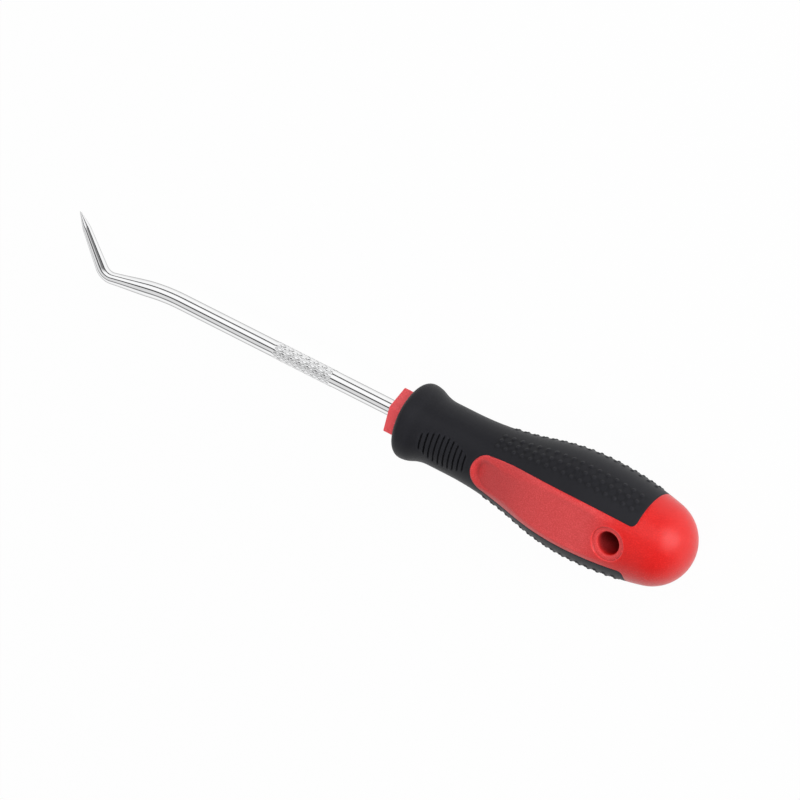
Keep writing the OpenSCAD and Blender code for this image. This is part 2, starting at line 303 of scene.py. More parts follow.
# Painted shade in hollows and painted highlights on crests, shared by all three pieces: a groove is
# painted darker, an edge paler
crests, crests_in, crests_out = new_group(
    "hollows and crests", ["Low", "High", "Least", "Most"], ["Share"],
)
low, high, least, most = (crests_in.outputs[label] for label in ("Low", "High", "Least", "Most"))
pointiness = crests.nodes.new("ShaderNodeNewGeometry").outputs["Pointiness"]
crests.links.new(map_range(crests.nodes, crests.links, pointiness, (low, high), (least, most)),
                 crests_out.inputs["Share"])


def paint_shade_and_highlight(nodes, links, colour, source, target):
    """A colour with painted shade in its hollows and a painted highlight on its crests."""
    values = dict(zip(("Low", "High", "Least", "Most"), (*source, *target)))
    share = place_group(nodes, crests, values).outputs["Share"]
    return blend_colours(nodes, links, 1.0, colour, share, "MULTIPLY")


chrome, nodes, links, shader, place, axes = new_finish("bright chrome")
shader.inputs["Metallic"].default_value = 1.0
shader.inputs["Specular Tint"].default_value = (0.3, 0.3, 0.3, 1)
drawn = nodes.new("ShaderNodeMapping")
drawn.inputs["Scale"].default_value = (60, 2600, 2600)
links.new(place, drawn.inputs["Vector"])
lines = new_noise(nodes, links, drawn.outputs["Vector"], 1.0, detail=3.0)
bloom = new_noise(nodes, links, place, 160.0)
tone = map_range(nodes, links, bloom, source=(0.3, 0.75))
silver = blend_colours(nodes, links, tone, (0.93, 0.935, 0.94), (0.985, 0.985, 0.985))
# Painted shade: the knurl's grooves and the rod's other hollows are painted darker.
links.new(paint_shade_and_highlight(nodes, links, silver, (0.42, 0.49), (0.5, 1.0)),
          shader.inputs["Base Color"])
polish = map_range(nodes, links, lines, target=(0.03, 0.07))
rolled = math_node(nodes, links, "MULTIPLY",
                   math_node(nodes, links, "GREATER_THAN", axes["X"], frame_x(-KNURL_START)),
                   math_node(nodes, links, "LESS_THAN", axes["X"], frame_x(-KNURL_END)))
dulled = math_node(nodes, links, "MULTIPLY", rolled, KNURL_ROUGHNESS)
links.new(math_node(nodes, links, "MAXIMUM", polish, dulled), shader.inputs["Roughness"])
add_bump(nodes, links, shader, lines, 0.02)
pick.data.materials.append(chrome)
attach(pick, "root")
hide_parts("pick_shaft")

# The hard core: one red injection moulding with a hexagonal collar in front, a body under the
# grip, a flattened panel in each window, a domed butt and a hanging hole right through it.
COLLAR_LENGTH, COLLAR_FLATS = 4.5, 14.3
COLLAR_CORNER, COLLAR_ROUNDING, SOCKET_CHAMFER = 0.45, 0.3, 0.25
FLARE_RADIUS, FLARE_SWEEP, RIM_SWEEP = 12.15, 8.0, 2.6
NECK_RADIUS, NECK_START, NECK_END = 10.2, 16.0, 22.7
BELLY_RADIUS, BELLY_PLACE = 16.0, 68.0
BELLY_FRONT_SWEEP, BELLY_BACK_SWEEP = 75.0, 108.0
HANDLE_LENGTH = 103.0
GRIP_THICKNESS = 2.2
FINGER_END, FINGER_CORNER = 88.0, 1.5
WINDOW_FRONT, WINDOW_NOSE = 32.2, 5.0
WINDOW_HALF, WINDOW_FRONT_HALF = 8.5, 5.9
PANEL_LEVEL, PANEL_SWEEP = 14.2, 110.0
PANEL_RIM, PANEL_WALL, PANEL_BLEND = 0.3, 2.4, 0.35
INNER_SHARE = 0.8
HOLE_PLACE, HOLE_RADIUS, HOLE_MARGIN = 82.0, 3.5, 6.4
RECESS_RADIUS, RECESS_DEPTH, MOUTH_ROUNDING = 5.2, 0.6, 0.6
RECESS_EDGE, RECESS_FOOT = RECESS_RADIUS + 0.12, RECESS_RADIUS - 0.14
SEAM_ROUNDING = 0.16


def radii_sum(along, rise):
    """Sum of the radii of two arcs that swing in opposite ways between two levels."""
    return (along * along + rise * rise) / (2 * rise)


def swing(s, centre, sweep, outward):
    """Height of an arc over the axis, on the far or the near side of its centre."""
    drop = np.sqrt(np.maximum(sweep * sweep - (s - centre[0]) ** 2, 0))
    return centre[1] + drop if outward else centre[1] - drop


def round_radius(s):
    """Radius of the handle's turned form at each distance back from the collar's front face."""
    s = np.asarray(s, float)
    flare_at = COLLAR_LENGTH + RIM_SWEEP
    neck_front = radii_sum(NECK_START - flare_at, FLARE_RADIUS - NECK_RADIUS) - FLARE_SWEEP
    neck_back = radii_sum(BELLY_PLACE - NECK_END, BELLY_RADIUS - NECK_RADIUS) - BELLY_FRONT_SWEEP
    run = HANDLE_LENGTH - BELLY_PLACE
    butt = (2 * BELLY_BACK_SWEEP * BELLY_RADIUS - run ** 2 - BELLY_RADIUS ** 2)
    butt /= 2 * (BELLY_BACK_SWEEP - run)
    flare_turn = flare_at + (NECK_START - flare_at) * FLARE_SWEEP / (FLARE_SWEEP + neck_front)
    belly_turn = BELLY_PLACE - (BELLY_PLACE - NECK_END) * BELLY_FRONT_SWEEP / (
        BELLY_FRONT_SWEEP + neck_back)
    back_centre = np.array([BELLY_PLACE, BELLY_RADIUS - BELLY_BACK_SWEEP])
    butt_centre = np.array([HANDLE_LENGTH - butt, 0.0])
    way = butt_centre - back_centre
    butt_turn = (back_centre + way * BELLY_BACK_SWEEP / np.linalg.norm(way))[0]
    return np.select(
        [s < flare_at, s < flare_turn, s < NECK_START, s < NECK_END, s < belly_turn,
         s < BELLY_PLACE, s < butt_turn],
        [swing(s, (flare_at, FLARE_RADIUS - RIM_SWEEP), RIM_SWEEP, True),
         swing(s, (flare_at, FLARE_RADIUS - FLARE_SWEEP), FLARE_SWEEP, True),
         swing(s, (NECK_START, NECK_RADIUS + neck_front), neck_front, False),
         np.full(s.shape, NECK_RADIUS),
         swing(s, (NECK_END, NECK_RADIUS + neck_back), neck_back, False),
         swing(s, (BELLY_PLACE, BELLY_RADIUS - BELLY_FRONT_SWEEP), BELLY_FRONT_SWEEP, True),
         swing(s, back_centre, BELLY_BACK_SWEEP, True)],
        swing(s, butt_centre, butt, True),
    )


def window_bow(s):
    """Half-width of the grip's window behind its round front."""
    bow = WINDOW_HALF - WINDOW_FRONT_HALF
    run = BELLY_PLACE - WINDOW_FRONT - WINDOW_NOSE
    sweep = (run * run + bow * bow) / (2 * bow)
    return swing(s, (BELLY_PLACE, WINDOW_HALF - sweep), sweep, True)


def window_edge(s):
    """Half-width of the window with its round front and the fingers' rounded corners."""
    s = np.asarray(s, float)
    q = np.clip((s - WINDOW_FRONT) / WINDOW_NOSE, 0, 1)
    plain = window_bow(np.clip(s, WINDOW_FRONT + WINDOW_NOSE, FINGER_END - FINGER_CORNER))
    return plain * np.sqrt(1 - (1 - q) ** 2) + edge_drop(FINGER_END - s, FINGER_CORNER)


def panel_height(s):
    """Level of the flattened panel over the axis: level at the back, swept down to the front."""
    ahead = np.minimum(s, BELLY_PLACE)
    return swing(ahead, (BELLY_PLACE, PANEL_LEVEL - PANEL_SWEEP), PANEL_SWEEP, True)


def from_edge(s, y):
    """Distance of a point in the window from the window's edge, seen along the hole."""
    nose = np.hypot((WINDOW_FRONT + WINDOW_NOSE - s) / WINDOW_NOSE, y / WINDOW_FRONT_HALF)
    return np.where(
        s < WINDOW_FRONT + WINDOW_NOSE, (1 - nose) * WINDOW_FRONT_HALF, window_bow(s) - np.abs(y),
    )


def core_height(s, y, turned):
    """Height of the core's bare surface: the turned form, with a flat let into it inside a rim."""
    level = panel_height(s)
    h = np.clip(0.5 + 0.5 * (level - turned) / PANEL_BLEND, 0, 1)
    flat = level * (1 - h) + turned * h - PANEL_BLEND * h * (1 - h)
    return turned + (flat - turned) * ease((from_edge(s, y) - PANEL_RIM) / PANEL_WALL)


def hexagon(angle):
    """Radius of the collar in each direction, with slightly rounded corners."""
    flat, corner = COLLAR_FLATS / 2, COLLAR_CORNER
    off = np.radians(30 - np.abs((np.degrees(angle) % 60) - 30))
    straight = flat / np.cos(off)
    reach = (flat - corner) / math.cos(math.pi / 6)
    from_corner = math.pi / 6 - off
    bent = reach * np.cos(from_corner) + np.sqrt(
        np.maximum(corner ** 2 - (reach * np.sin(from_corner)) ** 2, 0))
    tangent = math.atan2((flat - corner) * math.tan(math.pi / 6), flat)
    return np.where(off > tangent, bent, straight)


def turned_row(radius, s, angle):
    """One row of points round the axis."""
    radius = np.broadcast_to(radius, angle.shape)
    return np.stack([radius * np.cos(angle), radius * np.sin(angle), np.full(angle.shape, s)], -1)


# Lines round a quarter of the core: across the panel, and from the window's edge to the seam
across = np.concatenate([
    np.linspace(0, INNER_SHARE, 17), [0.84, 0.88, 0.91, 0.94, 0.965, 0.98, 0.99, 1.0],
])
round_share = np.radians(np.concatenate([
    np.linspace(0, 26, 12), [27.5, 28.3, 28.9, 29.5, 30, 30.5, 31.1, 31.7, 32.5],
    np.linspace(34, 86, 14), [87.5, 88.3, 88.9, 89.5, 90],
])) / (math.pi / 2)
nose_rows = WINDOW_FRONT + WINDOW_NOSE * (1 - np.cos(np.linspace(0, math.pi / 2, 22)))
hole_front, hole_back = HOLE_PLACE - HOLE_MARGIN, HOLE_PLACE + HOLE_MARGIN
panel_rows = np.unique(np.round(np.concatenate([
    nose_rows, np.linspace(WINDOW_FRONT + WINDOW_NOSE, hole_front, 44),
    np.linspace(hole_front, FINGER_END - FINGER_CORNER, 30),
    FINGER_END - FINGER_CORNER + FINGER_CORNER * np.sin(np.linspace(0, math.pi / 2, 9)),
]), 6))
butt_reach = HANDLE_LENGTH - hole_back
butt_rows = np.concatenate([
    FINGER_END + np.array([0, 0.05, 0.12, 0.25, 0.55]),
    hole_back + butt_reach * np.sin(np.linspace(0, math.pi / 2, 30)),
])


def panel_points(rows):
    """Points of the bare core in front of the finger ends, over a quarter of one window."""
    s = rows[:, None]
    inner = window_bow(np.maximum(s, WINDOW_FRONT + WINDOW_NOSE))
    inner = INNER_SHARE * np.where(s < WINDOW_FRONT + WINDOW_NOSE, window_edge(s), inner)
    beyond = (across - INNER_SHARE) / (1 - INNER_SHARE)
    y = np.where(across <= INNER_SHARE, inner * across / INNER_SHARE,
                 inner + (window_edge(s) - inner) * beyond)
    x = core_height(s, y, np.sqrt(round_radius(s) ** 2 - y ** 2))
    x = x - edge_drop(window_edge(s) - y, SEAM_ROUNDING)
    return np.stack([x, y, np.broadcast_to(s, y.shape)], -1)


panel_grid = panel_points(panel_rows)
last_y = panel_grid[-1, :, 1]
last_radius = round_radius(FINGER_END)
panel_turn = np.arcsin(last_y / last_radius)
edge_turn = panel_turn[-1]
butt_turn = np.concatenate([
    panel_turn, edge_turn + (math.pi / 2 - edge_turn) * round_share[1:],
])
butt_s = butt_rows[:, None]
butt_radius = round_radius(butt_s)
butt_y = butt_radius * np.sin(butt_turn)
butt_x = core_height(butt_s, butt_y, butt_radius * np.cos(butt_turn))
from_finger = np.hypot(butt_s - FINGER_END, np.maximum(last_y[-1] - butt_y, 0))
sunk = edge_drop(from_finger, SEAM_ROUNDING)
butt_x, butt_y = butt_x - sunk * np.cos(butt_turn), butt_y - sunk * np.sin(butt_turn)
butt_grid = np.stack([butt_x, butt_y, np.broadcast_to(butt_s, butt_y.shape)], -1)
butt_grid[0, : len(across)] = panel_grid[-1]
butt_grid[-1] = [0, 0, HANDLE_LENGTH]

# The hidden body under the grip, from the collar back to the finger ends
collar_turn = round_share * math.pi / 2
collar_edge = hexagon(collar_turn)
hidden_front = COLLAR_LENGTH + GRIP_THICKNESS
bevel = 0.3 * COLLAR_ROUNDING
front_rows = [turned_row(out, s, collar_turn) for out, s in (
    (0.0, TANG_LENGTH), (ROD_RADIUS, TANG_LENGTH), (ROD_RADIUS, SOCKET_CHAMFER),
    (ROD_RADIUS + SOCKET_CHAMFER, 0.0), (collar_edge - COLLAR_ROUNDING, 0.0),
    (collar_edge - bevel, bevel), (collar_edge, COLLAR_ROUNDING),
    (collar_edge, COLLAR_LENGTH), (collar_edge, hidden_front),
)]
for s in np.concatenate([[hidden_front + 0.02], np.linspace(8, WINDOW_FRONT, 16)]):
    front_rows.append(turned_row(round_radius(s) - GRIP_THICKNESS, s, collar_turn))
under_edge = np.arcsin(window_edge(panel_rows) / round_radius(panel_rows))[:, None]
under_turn = under_edge + (math.pi / 2 - under_edge) * round_share
under_radius = (round_radius(panel_rows) - GRIP_THICKNESS)[:, None]
under_grid = np.stack([
    under_radius * np.cos(under_turn), under_radius * np.sin(under_turn),
    np.broadcast_to(panel_rows[:, None], under_turn.shape),
], -1)

# The hanging hole: rings that run from the panel's own lines into the recess and down the bore
body_grid = np.concatenate([panel_grid, butt_grid[1:, : len(across)]])
body_rows = np.concatenate([panel_rows, butt_rows[1:]])
first_row = int(np.argmin(np.abs(body_rows - hole_front)))
last_row = int(np.argmin(np.abs(body_rows - hole_back)))
last_line = int(np.argmin(np.abs(across - INNER_SHARE)))
rim = np.concatenate([
    body_grid[first_row, : last_line + 1], body_grid[first_row + 1 : last_row + 1, last_line],
    body_grid[last_row, :last_line][::-1],
])
rim_along, rim_across = rim[:, 2] - HOLE_PLACE, rim[:, 1]
rim_reach = np.hypot(rim_along, rim_across)
hole_rings = [rim]
ring_radii = (
    5.45, RECESS_EDGE, 5.29, 5.25, RECESS_RADIUS, 5.14, 5.1, RECESS_FOOT, 4.9, 4.5, 4.1, 3.98, 3.86,
    3.74, 3.64, 3.56, 3.52, HOLE_RADIUS,
)
for ring_reach in ((rim_reach + RECESS_EDGE) / 2, *ring_radii):
    ring_along, ring_across = (part * ring_reach / rim_reach for part in (rim_along, rim_across))
    ring_s = HOLE_PLACE + ring_along
    surface = core_height(ring_s, ring_across,
                          np.sqrt(round_radius(ring_s) ** 2 - ring_across ** 2))
    sunk = ease((RECESS_EDGE - ring_reach) / (RECESS_EDGE - RECESS_FOOT))
    ring_level = surface + (PANEL_LEVEL - RECESS_DEPTH - surface) * sunk
    ring_level = ring_level - edge_drop(ring_reach - HOLE_RADIUS, MOUTH_ROUNDING)
    hole_rings.append(np.stack([ring_level, ring_across, ring_s], -1))
for depth in (12.6, 11, 8, 4, 0):
    ring = hole_rings[-1].copy()
    ring[:, 0] = depth
    hole_rings.append(ring)

core_skin = []
add_sheet(core_skin, np.array(front_rows))
add_sheet(core_skin, under_grid)
add_sheet(core_skin, np.stack([panel_grid[:, -1], under_grid[:, 0]], 1))
add_sheet(core_skin, np.stack([butt_grid[0, len(across) - 1 :], under_grid[-1]]))
add_sheet(core_skin, butt_grid[:, len(across) - 1 :])
add_sheet(core_skin, body_grid[: first_row + 1, : last_line + 1])
add_sheet(core_skin, body_grid[last_row:, : last_line + 1])
add_sheet(core_skin, body_grid[:, last_line:])
add_sheet(core_skin, np.array(hole_rings))
core = close_skin("core", core_skin, crease=42, mirrored=True)

# Moulded grain, shared by the core and the grip: a coarse and a fine etch on the mould's steel
grain, grain_in, grain_out = new_group(
    "moulded grain", ["Coarse", "Fine", "Fine Share"], ["Height", "Glint", "Cloud"],
)
gn, gl = grain.nodes, grain.links
grain_place = gn.new("ShaderNodeTexCoord").outputs["Object"]
coarse = new_noise(gn, gl, grain_place, grain_in.outputs["Coarse"])
fine = new_noise(gn, gl, grain_place, grain_in.outputs["Fine"])
cloud = new_noise(gn, gl, grain_place, 90.0, detail=4.0)
fine_part = math_node(gn, gl, "MULTIPLY", fine, grain_in.outputs["Fine Share"])
glint = map_range(gn, gl, math_node(gn, gl, "MULTIPLY", coarse, fine), source=(0.2, 0.42))
gl.new(math_node(gn, gl, "ADD", coarse, fine_part), grain_out.inputs["Height"])
gl.new(glint, grain_out.inputs["Glint"])
gl.new(cloud, grain_out.inputs["Cloud"])


def weighted(nodes, links, first, share, second):
    """A weighted mean of two values."""
    part = math_node(nodes, links, "MULTIPLY", first, share)
    rest = math_node(nodes, links, "MULTIPLY", second, 1 - share)
    return math_node(nodes, links, "ADD", part, rest)


# Where the red's painted sheen and painted shade change, in millimetres: back from the collar, out
# from the middle of the panel, up the bore from the handle's axis, and out from the hole's own axis
FLAT_FADE, SHEEN_FADE, NOSE_FADE = (85.0, 73.0), (58.0, 40.0), (47.0, 40.0)
FLAT_SIDE = (7.4, 9.2)
BORE_FADE = (10.6, 14.2)
SEAT_START, SEAT_END, LIP_END = (3.5, 4.0), (5.2, 5.7), (5.6, 6.0)

red_plastic, nodes, links, shader, place, axes = new_finish("red plastic")
etch = place_group(nodes, grain, {"Coarse": 2500.0, "Fine": 6500.0, "Fine Share": 0.6}).outputs
hole_axis = (math.sin(REST_PITCH), 0, math.cos(REST_PITCH))


def vector_node(operation, first, second, output):
    """A vector maths node of the red plastic."""
    node = nodes.new("ShaderNodeVectorMath")
    node.operation = operation
    feed(links, first, node.inputs[0])
    feed(links, second, node.inputs[1])
    return node.outputs[output]


def fade(value, limits):
    """A soft mask of the red plastic: 0 up to one distance in millimetres and 1 from another."""
    low, high = limits
    return map_range(nodes, links, value, (low / 1000, high / 1000), smooth=True)


def fade_ahead(limits):
    """A soft mask of the red plastic: 0 behind one place along the handle and 1 past another."""
    back, front = (frame_x(s, PANEL_LEVEL) for s in limits)
    return map_range(nodes, links, axes["X"], (back, front), smooth=True)


from_hole = vector_node("SUBTRACT", place, as_it_lies([0, 0, HOLE_PLACE]), "Vector")
off_axis = vector_node("CROSS_PRODUCT", from_hole, hole_axis, "Vector")
out_from_hole = vector_node("LENGTH", off_axis, (0, 0, 0), "Value")
up_hole = vector_node("DOT_PRODUCT", from_hole, hole_axis, "Value")
in_bore = math_node(nodes, links, "LESS_THAN", out_from_hole, (HOLE_RADIUS + 0.06) / 1000)
near_mouth = fade(math_node(nodes, links, "ABSOLUTE", up_hole), BORE_FADE)
# Painted shade: deep in the bore, away from its mouth, the red is painted dark.
unlit = math_node(nodes, links, "MULTIPLY", in_bore,
                  math_node(nodes, links, "SUBTRACT", 1.0, near_mouth))
# Painted sheen: the panel's flat and the seat round the hole are painted a paler pink.
off_middle = math_node(nodes, links, "ABSOLUTE", axes["Y"])
inside = math_node(nodes, links, "SUBTRACT", 1.0, fade(off_middle, FLAT_SIDE))
on_flat = math_node(nodes, links, "MULTIPLY", inside, fade_ahead(FLAT_FADE))
past_mouth = fade(out_from_hole, SEAT_START)
seat = math_node(nodes, links, "SUBTRACT", past_mouth, fade(out_from_hole, SEAT_END))
lip = math_node(nodes, links, "SUBTRACT", past_mouth, fade(out_from_hole, LIP_END))
on_flat = math_node(nodes, links, "MAXIMUM", on_flat,
                    math_node(nodes, links, "MULTIPLY", seat, 0.85))
# Painted sheen: the collar is painted a paler pink.
on_collar = math_node(nodes, links, "GREATER_THAN", axes["X"], frame_x(COLLAR_LENGTH + 0.5))
# Painted highlights and shade on the hole's lip and near the front.
edged = math_node(nodes, links, "MAXIMUM", lip, fade_ahead(NOSE_FADE))

mottle = weighted(nodes, links, etch["Glint"], 0.85, etch["Cloud"])
red = blend_colours(nodes, links, mottle, (0.71, 0.009, 0.008), (0.91, 0.028, 0.025))
# Painted shade in the bore.
red = blend_colours(nodes, links, unlit, red, (0.24, 0.003, 0.005))
# Painted sheen: a paler pink on the flat, with less of it towards the front.
flat_sheen_red = blend_colours(nodes, links, mottle, (0.76, 0.058, 0.060), (0.96, 0.122, 0.126))
faint_sheen_red = blend_colours(nodes, links, mottle, (0.64, 0.044, 0.046), (0.79, 0.080, 0.084))
flat_sheen_red = blend_colours(nodes, links, fade_ahead(SHEEN_FADE), flat_sheen_red, faint_sheen_red)
red = blend_colours(nodes, links, on_flat, red, flat_sheen_red)
# Painted sheen on the collar.
red = blend_colours(nodes, links, on_collar, red, (0.95, 0.098, 0.110))
# Painted shade in hollows and painted highlights on crests, on the hole's lip and near the front.
edge_red = paint_shade_and_highlight(nodes, links, red, (0.46, 0.54), (0.7, 1.3))
links.new(blend_colours(nodes, links, edged, red, edge_red), shader.inputs["Base Color"])
links.new(map_range(nodes, links, etch["Glint"], target=(0.28, 0.44)), shader.inputs["Roughness"])
add_bump(nodes, links, shader, etch["Height"], 0.9)
out_of_bore = math_node(nodes, links, "SUBTRACT", 1.0, in_bore)
links.new(math_node(nodes, links, "MULTIPLY", out_of_bore, 0.45),
          shader.inputs["Specular IOR Level"])
core.data.materials.append(red_plastic)
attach(core, "root")
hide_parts("handle_core")

# The soft grip: one black rubber moulding shot over the core, with a flared front, a ribbed thumb
# pad on two sides of its neck, and two fingers that run back with rows of small nubs.
PAD_FRONT, GROOVE_COUNT, GROOVE_PITCH = 14.0, 10, 1.72
GROOVE_HALF, GROOVE_DEPTH = 0.3, 0.45
PAD_HALF_WIDTH, PAD_EDGE = 4.9, 0.35
NUB_FRONT, NUB_COLUMNS, NUB_PITCH = 37.2, 17, 2.95
NUB_ROWS = np.radians(90 - np.array([17.0, 28.0, 39.0]))
NUB_RADIUS, NUB_HEIGHT, NUB_SPREAD = 0.74, 0.36, math.radians(3.3)
FINGER_FIXED = math.radians(45)
EDGE_ROUNDING, OPENING_CHAMFER = 0.3, 0.12
INNER_STEP = 9

pad_middle = PAD_FRONT + (GROOVE_COUNT - 1) * GROOVE_PITCH / 2
pad_reach = (GROOVE_COUNT - 1) * GROOVE_PITCH / 2 + 2 * GROOVE_PITCH
pad_arc = (pad_reach ** 2 + PAD_HALF_WIDTH ** 2) / (2 * PAD_HALF_WIDTH)
groove_places = PAD_FRONT + GROOVE_PITCH * np.arange(GROOVE_COUNT)
nub_places = NUB_FRONT + NUB_PITCH * np.arange(NUB_COLUMNS)


def grip_relief(s, angle, radius):
    """What stands out of the grip's turned form, less what is cut into it."""
    y = radius * np.sin(angle)
    leaf = np.sqrt(np.maximum(pad_arc ** 2 - (s - pad_middle) ** 2, 0)) - pad_arc + PAD_HALF_WIDTH
    inside = ease((leaf - y) / PAD_EDGE) * (np.abs(s - pad_middle) < pad_reach)
    nearest = np.min(np.abs(s[..., None] - groove_places), -1)
    groove = GROOVE_DEPTH * np.clip(1 - (nearest / GROOVE_HALF) ** 2, 0, 1) ** 0.5
    along = np.min(np.abs(s[..., None] - nub_places), -1)
    around = radius * np.min(np.abs(angle[..., None] - NUB_ROWS), -1)
    off = np.clip(np.hypot(along, around) / NUB_RADIUS, 0, 1)
    nub = NUB_HEIGHT * (1 - off * off)
    return nub - groove * inside


# Rows along the grip and lines round it, close together only where its relief needs them
across_groove = np.array([-0.31, -0.28, -0.2, 0, 0.2, 0.28, 0.31, 0.86])
across_nub = NUB_RADIUS * np.array([-1.04, -0.8, -0.42, 0, 0.42, 0.8, 1.04, 2.2])
rim_middle = COLLAR_LENGTH + RIM_SWEEP
grip_rows = np.unique(np.round(np.concatenate([
    rim_middle - RIM_SWEEP * np.cos(np.linspace(0.06, math.pi / 2, 12)),
    np.linspace(rim_middle, PAD_FRONT - 0.7, 12)[1:],
    (groove_places[:, None] + across_groove).ravel(),
    np.linspace(groove_places[-1] + 1, WINDOW_FRONT, 6), nose_rows[::2],
    [WINDOW_FRONT + WINDOW_NOSE], (nub_places[:, None] + across_nub).ravel()[:-1],
    FINGER_END - FINGER_CORNER + FINGER_CORNER * np.sin(np.linspace(0, math.pi / 2, 8)),
    [FINGER_END - 0.16],
]), 6))
grip_rows = grip_rows[np.concatenate([[True], np.diff(grip_rows) > 0.012])]
grip_rows[np.argmin(np.abs(grip_rows - WINDOW_FRONT))] = WINDOW_FRONT
grip_rows[-1] = FINGER_END
edge_share = np.concatenate([[0, 0.008, 0.02, 0.036, 0.056, 0.08], np.linspace(0.11, 1, 22)])
nub_turn = np.sort((NUB_ROWS[:, None] + NUB_SPREAD * np.array(
    [-1, -0.72, -0.4, 0, 0.4, 0.72, 1])).ravel())
fixed_turn = np.concatenate([nub_turn, np.radians([79, 82, 85, 87.5, 90])])
grip_s = grip_rows[:, None]
grip_radius = round_radius(grip_s)
window_turn = np.where(grip_s > WINDOW_FRONT, np.arcsin(window_edge(grip_s) / grip_radius), 0)
grip_turn = np.concatenate([
    window_turn + (FINGER_FIXED - window_turn) * edge_share,
    np.broadcast_to(fixed_turn, (len(grip_rows), len(fixed_turn))),
], 1)
grip_s = np.broadcast_to(grip_s, grip_turn.shape)
grip_radius = np.broadcast_to(grip_radius, grip_turn.shape)
relief = grip_relief(grip_s, grip_turn, grip_radius)
to_window = np.where(
    grip_s > WINDOW_FRONT + 0.001, grip_radius * (grip_turn - window_turn),
    np.hypot(WINDOW_FRONT - grip_s, grip_radius * grip_turn),
)
to_edge = np.minimum(to_window, FINGER_END - grip_s)
outer = grip_radius + relief - edge_drop(to_edge, EDGE_ROUNDING)
grip_out = np.stack([outer * np.cos(grip_turn), outer * np.sin(grip_turn), grip_s], -1)

# The grip's front face and hexagonal opening, then its hidden inside against the core
front_turn = grip_turn[0]
opening = hexagon(front_turn)
grip_front = np.array([*(turned_row(out, s, front_turn) for out, s in (
    (opening, hidden_front), (opening, COLLAR_LENGTH + OPENING_CHAMFER),
    (opening + OPENING_CHAMFER, COLLAR_LENGTH),
    ((opening + FLARE_RADIUS - RIM_SWEEP) / 2, COLLAR_LENGTH),
)), grip_out[0]])
last_turn = grip_turn.shape[1] - 1
few = np.unique([*range(0, last_turn, INNER_STEP), last_turn])
inner_rows = np.nonzero(grip_rows > hidden_front + 0.02)[0]
inner = grip_radius - GRIP_THICKNESS
grip_in = np.stack([inner * np.cos(grip_turn), inner * np.sin(grip_turn), grip_s], -1)[inner_rows]
grip_skin = []
add_sheet(grip_skin, grip_front)
add_sheet(grip_skin, grip_out)
add_sheet(grip_skin, grip_in[:, few])
window_rows = np.nonzero(grip_rows >= WINDOW_FRONT)[0]
inner_of = {int(row): k for k, row in enumerate(inner_rows)}
inner_edge = np.array([grip_in[inner_of[int(row)], 0] for row in window_rows])
add_sheet(grip_skin, np.stack([grip_out[window_rows, 0], inner_edge], 1))
for a, b in zip(few[:-1], few[1:]):
    add_face(grip_skin, [*grip_front[0, a : b + 1], grip_in[0, b], grip_in[0, a]])
    add_face(grip_skin, [*grip_out[-1, a : b + 1], grip_in[-1, b], grip_in[-1, a]])
grip = close_skin("grip", grip_skin, crease=60, mirrored=True)

black_rubber, nodes, links, shader, _, _ = new_finish("black rubber")
pores = place_group(nodes, grain, {"Coarse": 3000.0, "Fine": 9000.0, "Fine Share": 0.5}).outputs
dust = weighted(nodes, links, pores["Cloud"], 0.7, pores["Glint"])
black = blend_colours(nodes, links, dust, (0.0152, 0.0153, 0.0185), (0.0222, 0.0224, 0.0266))
# Painted shade in hollows, such as the pad's grooves and the nubs' feet, and painted highlights on
# crests such as the nubs' tops.
links.new(paint_shade_and_highlight(nodes, links, black, (0.455, 0.515), (0.35, 1.2)),
          shader.inputs["Base Color"])
links.new(map_range(nodes, links, pores["Glint"], target=(0.44, 0.56)), shader.inputs["Roughness"])
add_bump(nodes, links, shader, pores["Height"], 0.25)
shader.inputs["Specular IOR Level"].default_value = 0.15
grip.data.materials.append(black_rubber)
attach(grip, "root")
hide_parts("grip_sleeve")

# The studio: a wide pale floor, a pale surround with the narrow dark gaps that lie between its
# light panels, and soft lamps to the side of the tool, in front of it and over it.
FLOOR_HALF, FLOOR_GLOW = 6.0, 0.975
floor_mesh = bpy.data.meshes.new("floor")
floor_corners = [(x * FLOOR_HALF, y * FLOOR_HALF, 0)
                 for x, y in ((-1, -1), (1, -1), (1, 1), (-1, 1))]
floor_mesh.from_pydata(floor_corners, [], [(0, 1, 2, 3)])
floor = bpy.data.objects.new("floor", floor_mesh)
bpy.context.collection.objects.link(floor)


def seen_directly(nodes, links):
    """1 for rays from the camera, or by way of metal or glass, and 0 for light that bounces."""
    ray = nodes.new("ShaderNodeLightPath")
    seen = math_node(nodes, links, "MAXIMUM", ray.outputs["Is Camera Ray"],
                     ray.outputs["Is Glossy Ray"])
    return math_node(nodes, links, "MAXIMUM", seen, ray.outputs["Is Transmission Ray"])


pale = bpy.data.materials.new("pale floor")
pale.use_nodes = True
nodes, links = pale.node_tree.nodes, pale.node_tree.links
nodes.clear()
floor_out = nodes.new("ShaderNodeOutputMaterial")
paint = nodes.new("ShaderNodeBsdfDiffuse")
paint.inputs["Color"].default_value = (0.86, 0.86, 0.86, 1)
white = nodes.new("ShaderNodeEmission")
glow = nodes.new("ShaderNodeMixShader")
links.new(math_node(nodes, links, "MULTIPLY", seen_directly(nodes, links), FLOOR_GLOW),
          glow.inputs["Fac"])
links.new(paint.outputs["BSDF"], glow.inputs[1])
links.new(white.outputs["Emission"], glow.inputs[2])
links.new(glow.outputs["Shader"], floor_out.inputs["Surface"])
floor_mesh.materials.append(pale)

world = bpy.data.worlds.new("studio")
world.use_nodes = True
bpy.context.scene.world = world
nodes, links = world.node_tree.nodes, world.node_tree.links
nodes.clear()
world_out = nodes.new("ShaderNodeOutputWorld")
direction = nodes.new("ShaderNodeSeparateXYZ")
links.new(nodes.new("ShaderNodeTexCoord").outputs["Generated"], direction.inputs["Vector"])
roll = math_node(nodes, links, "ARCTAN2", direction.outputs["Z"], direction.outputs["Y"])
roll = math_node(nodes, links, "DIVIDE", roll, math.pi)
panels = nodes.new("ShaderNodeValToRGB")
links.new(roll, panels.inputs["Fac"])
stops = panels.color_ramp.elements
